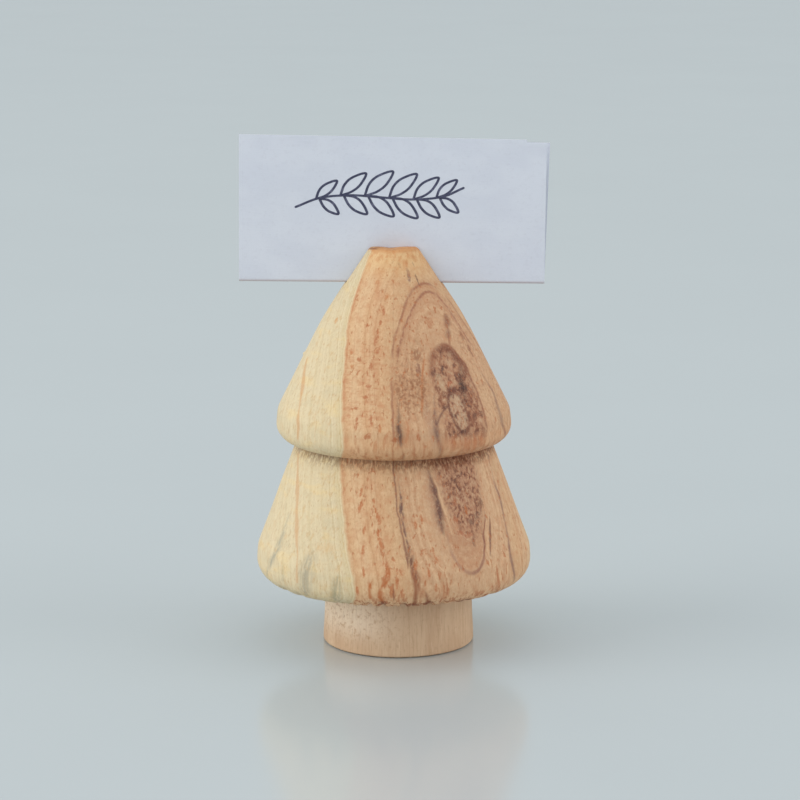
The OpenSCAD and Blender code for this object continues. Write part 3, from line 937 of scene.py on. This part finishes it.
def pores(wood):
    """Pores as short dashes, thickest low down and in the early wood of each ring."""
    dashes = wood.speckle((0.45, 0.45, 1.4), 9.7, 2.0, 0.5, 0.3)
    inner_wood = wood.times(wood.bump_at(wood.ring, 7.5, 3.5), 0.6)
    early = wood.calc("MAXIMUM", wood.bump_at(wood.ring, 12.8, 2.6), inner_wood)
    early = wood.times(early, wood.scaled(wood.ease(wood.z, 24.0, 14.0), 0.06, 0.04))
    fleck = wood.times(wood.ease(wood.total(dashes, early), 0.61, 0.74), wood.heart)
    wood.cover((190, 114, 68), fleck, 0.75)
    small_pores = wood.ease(wood.speckle((0.28, 0.28, 0.8), 3.3, 2.0), 0.52, 0.74)
    wood.cover((194, 134, 92), small_pores, wood.heart, 0.35)
    sap_pores = wood.ease(wood.speckle((0.3, 0.3, 1.4), 4.3, 2.0), 0.58, 0.74)
    wood.cover((192, 152, 104), sap_pores, wood.sap, 0.4)
    return fleck


def fibres(wood):
    """Fine fibres down the grain and a sanded bloom over them."""
    fibre = wood.speckle((0.16, 0.16, 4.0), 0.0, 3.0, 0.6)
    grain = wood.speckle((0.32, 0.32, 0.32), 2.0, 3.0, 0.7)
    wood.cover((244, 222, 184), wood.ease(fibre, 0.52, 0.8), 0.22)
    wood.cover((164, 112, 74), wood.ease(fibre, 0.48, 0.2), 0.2)
    wood.cover((246, 222, 186), wood.ease(grain, 0.52, 0.8), 0.28)
    wood.cover((164, 110, 76), wood.ease(grain, 0.48, 0.2), 0.25)
    return fibre, grain


def torn_neck(wood):
    """Torn fibres under the upper rim, in a band darkened by painted shade, with a dark line of painted shade
    right under the rim.
    """
    neck = wood.times(wood.lower, wood.ease(wood.radius, 17.0, 16.4))
    rough_neck = wood.times(wood.ease(wood.z, neck_z - 2.6, neck_z - 0.7), neck)
    torn = wood.ease(wood.speckle((0.26, 0.26, 2.4), 6.0, 2.0), 0.42, 0.6)
    clots = wood.ease(wood.speckle((1.1, 1.1, 1.6), 16.0, 2.0), 0.4, 0.6)
    painted_rim_shade = wood.times(wood.ease(wood.z, neck_z - 1.1, neck_z - 0.3), neck)
    stain_and_shade = wood.times(wood.heart, wood.ease(wood.bearing, -1.9, -0.8))
    # Painted shade: the rough band is darkened in clots and a dark line lies right under the rim, both weaker
    # on the left.
    wood.cover((138, 92, 62), rough_neck, stain_and_shade, clots, 0.42)
    wood.cover((122, 72, 44), rough_neck, torn, wood.scaled(stain_and_shade, 0.35, 0.45))
    wood.cover((136, 76, 44), painted_rim_shade, wood.scaled(stain_and_shade, 0.3, 0.32))
    return wood.times(rough_neck, torn)


def rubbed_edges(wood):
    """Both brims, rubbed and nicked to orange brown, the lower one lifted by painted light, and the tip
    burnished by the tool.
    """
    rubbed = wood.speckle((0.6, 0.6, 2.2), 15.0, 3.0, 0.6)
    foot = wood.times(wood.ease(wood.z, underside_z + 3.2, underside_z + 0.4), wood.heart)
    # Painted light: the lower brim is painted paler to lift the shade on its curve.
    wood.cover((248, 204, 158), foot, 0.6)
    wood.cover((176, 90, 46), foot, wood.ease(rubbed, 0.46, 0.6), wood.ease(wood.y, -8.0, -14.0), 0.85)
    for shade, width, points in (
        ((186, 104, 52), 0.6, (
            (-93.0, 17.4, 0.4), (-92.0, 16.1, 0.7), (-91.8, 15.0, 0.8), (-94.2, 13.8, 0.7), (-95.5, 12.8, 0.9),
            (-95.4, 11.8, 1), (-94.4, 11.0, 0.9),
        )),
        ((150, 84, 52), 0.55, (
            (-82.0, 16.0, 0.7), (-81.8, 14.7, 0.9), (-81.2, 13.2, 1), (-81.2, 11.5, 1), (-81.2, 10.6, 0.9),
        )),
        ((136, 74, 46), 0.6, ((-77.2, 12.9, 0.3), (-76.0, 11.6, 0.9), (-75.2, 10.7, 1))),
        ((150, 90, 62), 0.25, ((-90, 13.3, 0.7), (-90, 11.8, 1))),
        ((176, 100, 58), 0.3, ((-68, 13.9, 0.7), (-67.8, 12.4, 1))),
        ((190, 112, 60), 0.5, ((-98.5, 14.4, 0.6), (-99.5, 13.5, 0.9), (-99.8, 12.0, 1))),
    ):
        wood.line(shade, width, 0.75, points, soft=1.0)
    for degrees, z, across, along in (
        (-82, 10.4, 1.7, 0.4), (-75, 10.6, 0.7, 0.5), (-57, 10.3, 1.3, 0.35), (-94.6, 10.8, 0.6, 0.5),
    ):
        wood.spot((140, 72, 44), 0.8, degrees, z, across, along)
    brim = wood.times(
        wood.ease(wood.z, neck_z + 4.2, neck_z + 0.8), wood.ease(wood.z, neck_z - 0.2, neck_z), wood.heart,
    )
    wood.cover((232, 176, 128), brim, 0.4)
    wood.cover((182, 110, 68), brim, wood.ease(rubbed, 0.48, 0.66), 0.55)
    near_tip = wood.times(wood.ease(wood.z, tip_z - 5.0, tip_z - 1.0), wood.heart)
    wood.cover((238, 198, 140), near_tip, 0.5)
    wood.cover((208, 136, 82), near_tip, wood.ease(rubbed, 0.44, 0.62), 0.5)
    lip = wood.ease(wood.z, tip_z - 0.75, tip_z - 0.2)
    wood.cover((204, 134, 76), lip, 0.55)
    wood.line((112, 60, 44), 2.2, 0.85, ((-165, 60.1, 0.2), (-152, 60.3, 1), (-140, 60.45, 0.5)), soft=1.2)


def tree_wood():
    """All layers of the tree's wood, from the growth rings up to the rubbed edges."""
    wood = TreeWood()
    rings_and_clouds(wood)
    sapwood_marks(wood)
    outer, core = upper_arches(wood)
    upper_lines(wood)
    knot(wood)
    upper_flecks(wood)
    upper_mottles(wood, outer, core)
    tongue_and_loop(wood)
    lower_lines(wood)
    fleck = pores(wood)
    fibre, grain = fibres(wood)
    torn = torn_neck(wood)
    rubbed_edges(wood)
    relief = ((fibre, 0.5), (fleck, -0.5), (torn, -1.2), (grain, 0.2))
    height = wood.total(*(wood.times(layer, weight) for layer, weight in relief))
    return wood.surface(wood.scaled(fibre, 0.16, 0.5), height, 0.08)


dress(tree, tree_wood())

# Trunk.
# A second turned piece, of a plainer and pinker wood, glued under the tree on a dowel.
# It stands a little to the right of the tree's own axis.
trunk_low, trunk_high = (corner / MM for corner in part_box("trunk"))
trunk_top_z = trunk_high.z
foot_r = (trunk_high.x - trunk_low.x) / 2
top_r = foot_r - 0.4
foot_chamfer = 0.6
bore_in_trunk = 7.0
trunk_swell = 0.06
sanded_off = 0.02
trunk_sides = 360
trunk_row_h = 0.3
trunk_outline = evenly(
    turned_outline(
        [
            (0, trunk_top_z, 0),
            (top_r, trunk_top_z, 0.15),
            (foot_r, 0.2, 0.3),
            (foot_r - foot_chamfer, 0, 0.3),
            (0, 0, 0),
        ],
        7,
    ),
    trunk_row_h,
)
trunk = turned_mesh("turned_trunk", trunk_outline, trunk_sides, (glued_offset, 0))


def sanded_by_hand(at):
    """Slow swells along the side of the trunk, whose two ends stay flat."""
    off = Vector((at.x - glued_offset, at.y, 0))
    if off.length < 5 or at.z < 0.02 or at.z > trunk_top_z - 0.02:
        return Vector((0, 0, 0))
    swell = trunk_swell * noise.noise(Vector((at.x / 6, at.y / 6, at.z / 3 + 9)))
    return off.normalized() * (swell - sanded_off)


reshape(trunk, sanded_by_hand)
cut_out(trunk, dowel_drill("hole_cutter", trunk_top_z - bore_in_trunk, trunk_top_z + 1))
smooth_over(trunk)
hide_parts("trunk")
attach(trunk, "holder")


def trunk_wood():
    """Plain straight grain with faint mottling, paler at its upper left, with painted shade at its top under
    the tree.
    """
    wood = Finish("trunk_wood")
    broad = wood.speckle((3, 3, 12), 4.0, 2.0)
    wood.colour = wood.blend(paint(219, 188, 155), paint(208, 174, 141), wood.ease(broad, 0.35, 0.65))
    curl = wood.speckle((0.5, 0.5, 0.55), 8.0, 3.0, 0.6)
    left = wood.times(wood.ease(wood.x, 3.0, -6.0), wood.ease(wood.z, 1.0, 5.5))
    wood.cover((246, 224, 198), wood.ease(curl, 0.3, 0.54), left, 0.95)
    wood.cover((168, 126, 94), wood.ease(curl, 0.46, 0.26), wood.scaled(left, -0.2, 0.25))
    lines = wood.speckle((0.35, 0.35, 7.0), 1.0, 3.0, 0.6)
    wood.cover((182, 142, 108), wood.ease(lines, 0.5, 0.78), 0.45)
    fibre = wood.speckle((0.16, 0.16, 2.2), 7.0, 2.0)
    wood.cover((236, 212, 182), wood.ease(fibre, 0.54, 0.8), 0.4)
    wood.cover((158, 118, 88), wood.ease(fibre, 0.44, 0.2), 0.35)
    # Painted shade: a mottled darker band at the top of the trunk, under the tree's overhang, strongest on the
    # right.
    painted_shade_under_tree = wood.times(wood.ease(wood.z, trunk_top_z - 2.6, trunk_top_z - 0.6), wood.ease(curl, 0.3, 0.6))
    wood.cover((164, 124, 92), painted_shade_under_tree, wood.scaled(left, -0.35, 0.55))
    return wood.surface(wood.scaled(fibre, 0.15, 0.55), wood.scaled(lines, -0.6, fibre), 0.05)


dress(trunk, trunk_wood())

# Dowel.
# A fluted pin of pressed beech, bought in, glued into blind holes in the trunk and the tree.
# It is hidden once the two are together.
dowel = frame["nodes"]["trunk_dowel"]


def dowel_wood():
    """Pale beech with the short brown flecks of its rays."""
    wood = Finish("dowel_wood")
    grain = wood.speckle((0.4, 0.4, 8.0), 2.0, 3.0)
    wood.colour = wood.blend(paint(222, 196, 156), paint(200, 168, 126), wood.ease(grain, 0.4, 0.7))
    wood.cover((168, 126, 88), wood.ease(wood.speckle((0.3, 0.3, 1.2), 5.0, 1.0), 0.64, 0.74), 0.7)
    return wood.surface(wood.scaled(grain, 0.1, 0.55), grain, 0.03)


dowel.data.materials.clear()
dowel.data.materials.append(dowel_wood())

# Card.
# One sheet of uncoated white card, cut by hand and folded along its lower edge.
# It springs open in the saw cut, so the rear leaf leans back against the slot's rear wall.
fold_joint = next(joint for joint in frame["joints"] if joint["name"] == "card_fold")
fold_at = Vector(fold_joint["pos_m"]) / MM
card_w = 45.4
card_h = 22.0
card_loss = 0.5
nick_x = card_w / 2 - 2.9
nick_h = 0.45
nick_slant = 0.01
rear_drop = 0.6
fold_skew = 0.6
paper_t = 0.25
held_x, held_z = (8, 22), (2, 18)
sway_depth, sway_reach = 0.16, 7.0
bow_depth, bow_reach = 0.10, 9
rear_bow_share = 0.8
fold_r = 0.15
fold_share = 0.06
card_tilt = math.radians(0.5)
rear_lean = math.radians(6.2)
leaf_h = card_h - fold_r - paper_t
card_columns = 92
leaf_rows = 40
fold_rows = 17


def paper_bow(x, height):
    """How far a leaf bows out of its plane, growing away from the slot."""
    away = fade(abs(x), *held_x)
    sway = sway_depth * math.sin(x / sway_reach + 0.6) * fade(height, *held_z)
    return away * (sway + bow_depth * noise.noise(Vector((x / bow_reach, height / bow_reach, 2))))


def cut_loss(x):
    """What the slanting cut takes off the sheet's height, growing to the right."""
    return card_loss * (x + card_w / 2) / card_w


def front_top(x):
    """Height of the front leaf's cut edge above the fold's centre."""
    low = leaf_h - cut_loss(x)
    return low - nick_h if x > nick_x else low


def rear_top(x):
    """Height of the rear leaf's cut edge above the fold's centre."""
    return leaf_h - rear_drop - cut_loss(x)


def card_point(x, stretch_at, side):
    """A point of the sheet: stretch_at runs from -1 at the front's cut edge to 1 at the rear's.

    Side is -1 on the sheet's outer face and 1 on its inner one."""
    radius = fold_r + paper_t / 2 - side * paper_t / 2
    if stretch_at < -fold_share:
        height = front_top(x) * (-stretch_at - fold_share) / (1 - fold_share)
        return Vector((x, paper_bow(x, height) - radius, height))
    if stretch_at > fold_share:
        along = (stretch_at - fold_share) / (1 - fold_share)
        height = rear_top(x) * along
        y = radius + paper_bow(x, height) * rear_bow_share
        return Vector((
            x + fold_skew * along,
            y * math.cos(rear_lean) + height * math.sin(rear_lean),
            height * math.cos(rear_lean) - y * math.sin(rear_lean),
        ))
    turn = math.pi + (math.pi - rear_lean) * (stretch_at + fold_share) / (2 * fold_share)
    return Vector((x, radius * math.cos(turn), radius * math.sin(turn)))


def on_card(point):
    """From the sheet's own place to the holder's, in millimetres."""
    return fold_at + Vector((
        point.x * math.cos(card_tilt) + point.z * math.sin(card_tilt),
        point.y,
        point.z * math.cos(card_tilt) - point.x * math.sin(card_tilt),
    ))


def face_outwards(piece):
    """Turns every face of a closed piece outwards."""
    shape = bmesh.new()
    shape.from_mesh(piece.data)
    bmesh.ops.recalc_face_normals(shape, faces=shape.faces)
    shape.to_mesh(piece.data)
    shape.free()


nick_sides = (nick_x - nick_slant, nick_x + nick_slant)
columns = sorted([*np.linspace(-card_w / 2, card_w / 2, card_columns), *nick_sides])
stretches = [
    *np.linspace(-1, -fold_share, leaf_rows),
    *np.linspace(-fold_share, fold_share, fold_rows)[1:],
    *np.linspace(fold_share, 1, leaf_rows)[1:],
]
places = [on_card(card_point(x, s, side)) * MM for side in (-1, 1) for x in columns for s in stretches]
across = len(stretches)
layer = len(columns) * across
faces = []
for c in range(len(columns) - 1):
    for s in range(across - 1):
        a = c * across + s
        faces.append((a, a + across, a + across + 1, a + 1))
        faces.append((layer + a, layer + a + 1, layer + a + across + 1, layer + a + across))
for s in range(across - 1):
    last = (len(columns) - 1) * across + s
    faces.append((s, s + 1, layer + s + 1, layer + s))
    faces.append((last + 1, last, layer + last, layer + last + 1))
for c in range(len(columns) - 1):
    a, b = c * across, c * across + across - 1
    faces.append((a + across, a, layer + a, layer + a + across))
    faces.append((b, b + across, layer + b + across, layer + b))
card = put_mesh("folded_card", places, faces)
face_outwards(card)
smooth_over(card, 50)
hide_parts("card_front_leaf", "card_back_leaf")
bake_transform(card)


def card_paper():
    """Uncoated card: a fine felt mark, a few fibres, and painted shade along the fold."""
    sheet = Finish("card_paper")
    felt = sheet.speckle((0.5, 0.5, 0.5), 1.0, 4.0, 0.65)
    cloud = sheet.speckle((6, 6, 4), 3.0, 2.0)
    sheet.colour = sheet.blend(paint(223, 228, 238), paint(219, 224, 235), sheet.ease(cloud, 0.35, 0.65))
    sheet.cover((204, 207, 218), sheet.ease(felt, 0.5, 0.75), 0.3)
    fibres = sheet.speckle((1.6, 1.6, 0.12), 4.0, 2.0, 0.6)
    sheet.cover((226, 229, 238), sheet.ease(fibres, 0.6, 0.75), 0.3)
    height = sheet.scaled(sheet.x, math.tan(card_tilt), sheet.z)
    # Painted shade: a pinkish grey band along the bottom of the fold.
    sheet.cover((196, 182, 184), sheet.ease(height, fold_at.z + 0.15, fold_at.z - 0.35), 0.7)
    return sheet.surface(sheet.scaled(felt, 0.1, 0.75), sheet.total(felt, fibres), 0.015, 0.2)


dress(card, card_paper())

# Pen sprig.
# A leafy sprig drawn with a fine pen in blue-grey ink, one line of even width.
# It lies on the middle of the card's front leaf.
ink_t = 0.02
ink_sunk = 0.01
ink_step_t = 0.0004
ink_step_places = 400
pen_w = 0.33
pen_press = 0.14
pen_step = 0.05
cap_points = 6
cap_start = 0.35
sprig_middle = Vector((-1.7, 0, 12.4))
sprig_rise = 0.05
stem = ((-12.6, -0.9), (-9.0, 0.3), (-4.5, 0.5), (0.0, 0.0), (4.5, -0.5), (9.0, -0.3), (12.2, 0.9))
leaf_pairs = ((-9.6, 4.0), (-6.0, 4.9), (-2.4, 5.4), (1.2, 5.3), (4.8, 4.8), (8.2, 3.9))
leaf_lean_deg = 40
under_leaf_shift = 0.5
under_leaf_size = 0.92
leaf_shape = ((0, 0), (0.3, 0.17), (0.62, 0.18), (1.0, 0.0), (0.66, -0.15), (0.34, -0.14), (0.04, -0.02))
ink_places, ink_faces = [], []


def pen_line(points):
    """A smooth line through the points, as close samples."""
    p = [np.array(q, float) for q in points]
    p = [2 * p[0] - p[1], *p, 2 * p[-1] - p[-2]]
    line = []
    for a, b, c, d in zip(p, p[1:], p[2:], p[3:]):
        slope, bend, twist = c - a, 2 * a - 5 * b + 4 * c - d, 3 * b - a - 3 * c + d
        line += [0.5 * (2 * b + slope * t + bend * t ** 2 + twist * t ** 3) for t in np.arange(0, 1, pen_step)]
    return [*line, p[-2]]


def ink_point(flat, proud):
    """A point of the drawing, laid on the bowed front leaf and standing proud of it."""
    x = sprig_middle.x + flat[0]
    height = sprig_middle.z + flat[1] + sprig_rise * flat[0]
    y = -(fold_r + paper_t) + paper_bow(x, height) - proud
    return on_card(Vector((x, y, height))) * MM


def leaf(at, length, up):
    """An open pointed loop that starts and ends on the stem; up is 1 above it and -1 below."""
    cos, sin = math.cos(math.radians(leaf_lean_deg * up)), math.sin(math.radians(leaf_lean_deg * up))
    return [(at[0] + length * (a * cos - b * sin), at[1] + length * (a * sin + b * cos)) for a, b in leaf_shape]


def round_end(end, way):
    """The points round the end of a stroke, from its left side to its right."""
    way = way / np.hypot(*way)
    side = np.array([-way[1], way[0]])
    turns = np.linspace(cap_start, math.pi - cap_start, cap_points)
    return [end + pen_w / 2 * (way * math.sin(t) + side * math.cos(t)) for t in turns]


def draw_stroke(points):
    """Lays one closed ribbon of ink along a pen line, with round ends."""
    line = pen_line(points)
    ways = [np.array(b) - np.array(a) for a, b in zip(line, line[1:])]
    ways.append(ways[-1])
    left, right = [], []
    for at, way in zip(line, ways):
        way = way / np.hypot(*way)
        press = pen_w * (1 + pen_press * abs(way[1]))
        side = np.array([-way[1], way[0]]) * press / 2
        left.append(at + side)
        right.append(at - side)
    rim = left + round_end(line[-1], ways[-1]) + right[::-1] + round_end(line[0], -ways[0])
    start = len(ink_places)
    thick = ink_t - ink_step_t * (start // ink_step_places)
    count = len(rim)
    ink_places.extend(ink_point(p, thick) for p in rim)
    ink_places.extend(ink_point(p, -ink_sunk) for p in rim)
    straight = len(left)
    across = start + count - cap_points - 1
    for k in range(straight - 1):
        a, b, c, d = start + k, start + k + 1, across - k - 1, across - k
        ink_faces.append((a, b, c, d))
        ink_faces.append((a + count, d + count, c + count, b + count))
    for first in (straight - 1, count - cap_points - 1):
        ring = [start + (first + k) % count for k in range(cap_points + 2)]
        ink_faces.append(tuple(ring))
        ink_faces.append(tuple(r + count for r in reversed(ring)))
    for k in range(count):
        a, b = start + k, start + (k + 1) % count
        ink_faces.append((b, a, a + count, b + count))


stem_line = np.array(pen_line(stem))
draw_stroke(stem)
for along, length in leaf_pairs:
    rise = float(np.interp(along, stem_line[:, 0], stem_line[:, 1]))
    draw_stroke(leaf((along, rise), length, 1))
    draw_stroke(leaf((along + under_leaf_shift, rise), length * under_leaf_size, -1))
ink = put_mesh("pen_sprig", ink_places, ink_faces)
face_outwards(ink)
smooth_over(ink)
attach(ink, "card_front")


def pen_ink():
    """Dry ink, a little thinner where the pen ran fast."""
    drawn = Finish("pen_ink")
    flow = drawn.speckle((0.8, 0.8, 0.8), 2.0, 3.0)
    drawn.colour = drawn.blend(paint(70, 72, 96), paint(104, 106, 130), drawn.ease(flow, 0.45, 0.75))
    return drawn.surface(drawn.scaled(flow, 0.1, 0.45), flow, 0.004)


dress(ink, pen_ink())

# Table.
# A pale blue-grey lacquered table top. It isn't part of the object.
# The tree shows in it as a soft reflection.
table_reach = 4.0
table_corners = [(x * table_reach, y * table_reach, 0) for x, y in ((-1, -1), (1, -1), (1, 1), (-1, 1))]
table = put_mesh("table_top", table_corners, [(0, 1, 2, 3)])


def table_lacquer():
    """A smooth pale coat with the faintest cloud in it."""
    top = Finish("table_lacquer")
    cloud = top.speckle((60, 60, 60), 1.0, 3.0)
    top.colour = top.blend(paint(190, 199, 202), paint(194, 203, 206), cloud)
    return top.surface(top.scaled(cloud, 0.03, 0.14), cloud, 0.0, 0.65)


dress(table, table_lacquer())

# Light.
# A large soft window to the left, a white wall that throws some of it back from the right,
# and an even pale room all round.
room_tint = (0.97, 0.985, 1.0, 1.0)
room_level = 0.8
world = bpy.data.worlds.new("room")
bpy.context.scene.world = world
world.use_nodes = True
room = Nodes(world.node_tree)
room_light = room.tree.nodes["Background"]
room_light.inputs["Color"].default_value = room_tint
room_light.inputs["Strength"].default_value = room_level
backdrop = room.add("Background", {"Color": paint(193, 202, 205), "Strength": 1.0})
ray = room.add("LightPath").outputs
mirrored = room.calc("MAXIMUM", ray["Is Glossy Ray"], ray["Is Transmission Ray"])
straight = room.calc("MAXIMUM", ray["Is Camera Ray"], mirrored)
either = room.add("MixShader", {0: straight, 1: room_light.outputs[0], 2: backdrop.outputs[0]})
room.tree.links.new(either.outputs[0], room.tree.nodes["World Output"].inputs["Surface"])


def soft_light(name, place, size, power, colour):
    """A round lamp in metres and watts, aimed at the tree, that leaves no glare on the table."""
    lamp = bpy.data.lights.new(name, "AREA")
    lamp.shape = "DISK"
    lamp.size = size
    lamp.energy = power
    lamp.color = colour
    made = put(name, lamp)
    made.location = place
    made.rotation_euler = (Vector((0, 0, 0.03)) - Vector(place)).to_track_quat("-Z", "Y").to_euler()
    made.visible_glossy = False


soft_light("window", (-1.3, -0.35, 0.6), 1.3, 10.4, (1.0, 0.985, 0.96))
soft_light("white_wall", (1.3, -0.3, 0.5), 1.2, 5.4, (1.0, 0.97, 0.93))

# Camera.
# It stands half a metre in front of the tree and looks down on it by about twelve degrees.
distance = 520.0
pitch = math.radians(12.2)
look_x = 0.93
look_z = 37.0
camera = put("camera", bpy.data.cameras.new("camera"))
camera.location = Vector((look_x, -distance * math.cos(pitch), look_z + distance * math.sin(pitch))) * MM
camera.rotation_euler = (math.pi / 2 - pitch, 0, 0)
camera.data.lens = 156.0
camera.data.sensor_width = 36.0
camera.data.clip_start = 0.01
bpy.context.scene.camera = camera
bpy.context.scene.view_settings.view_transform = "Standard"
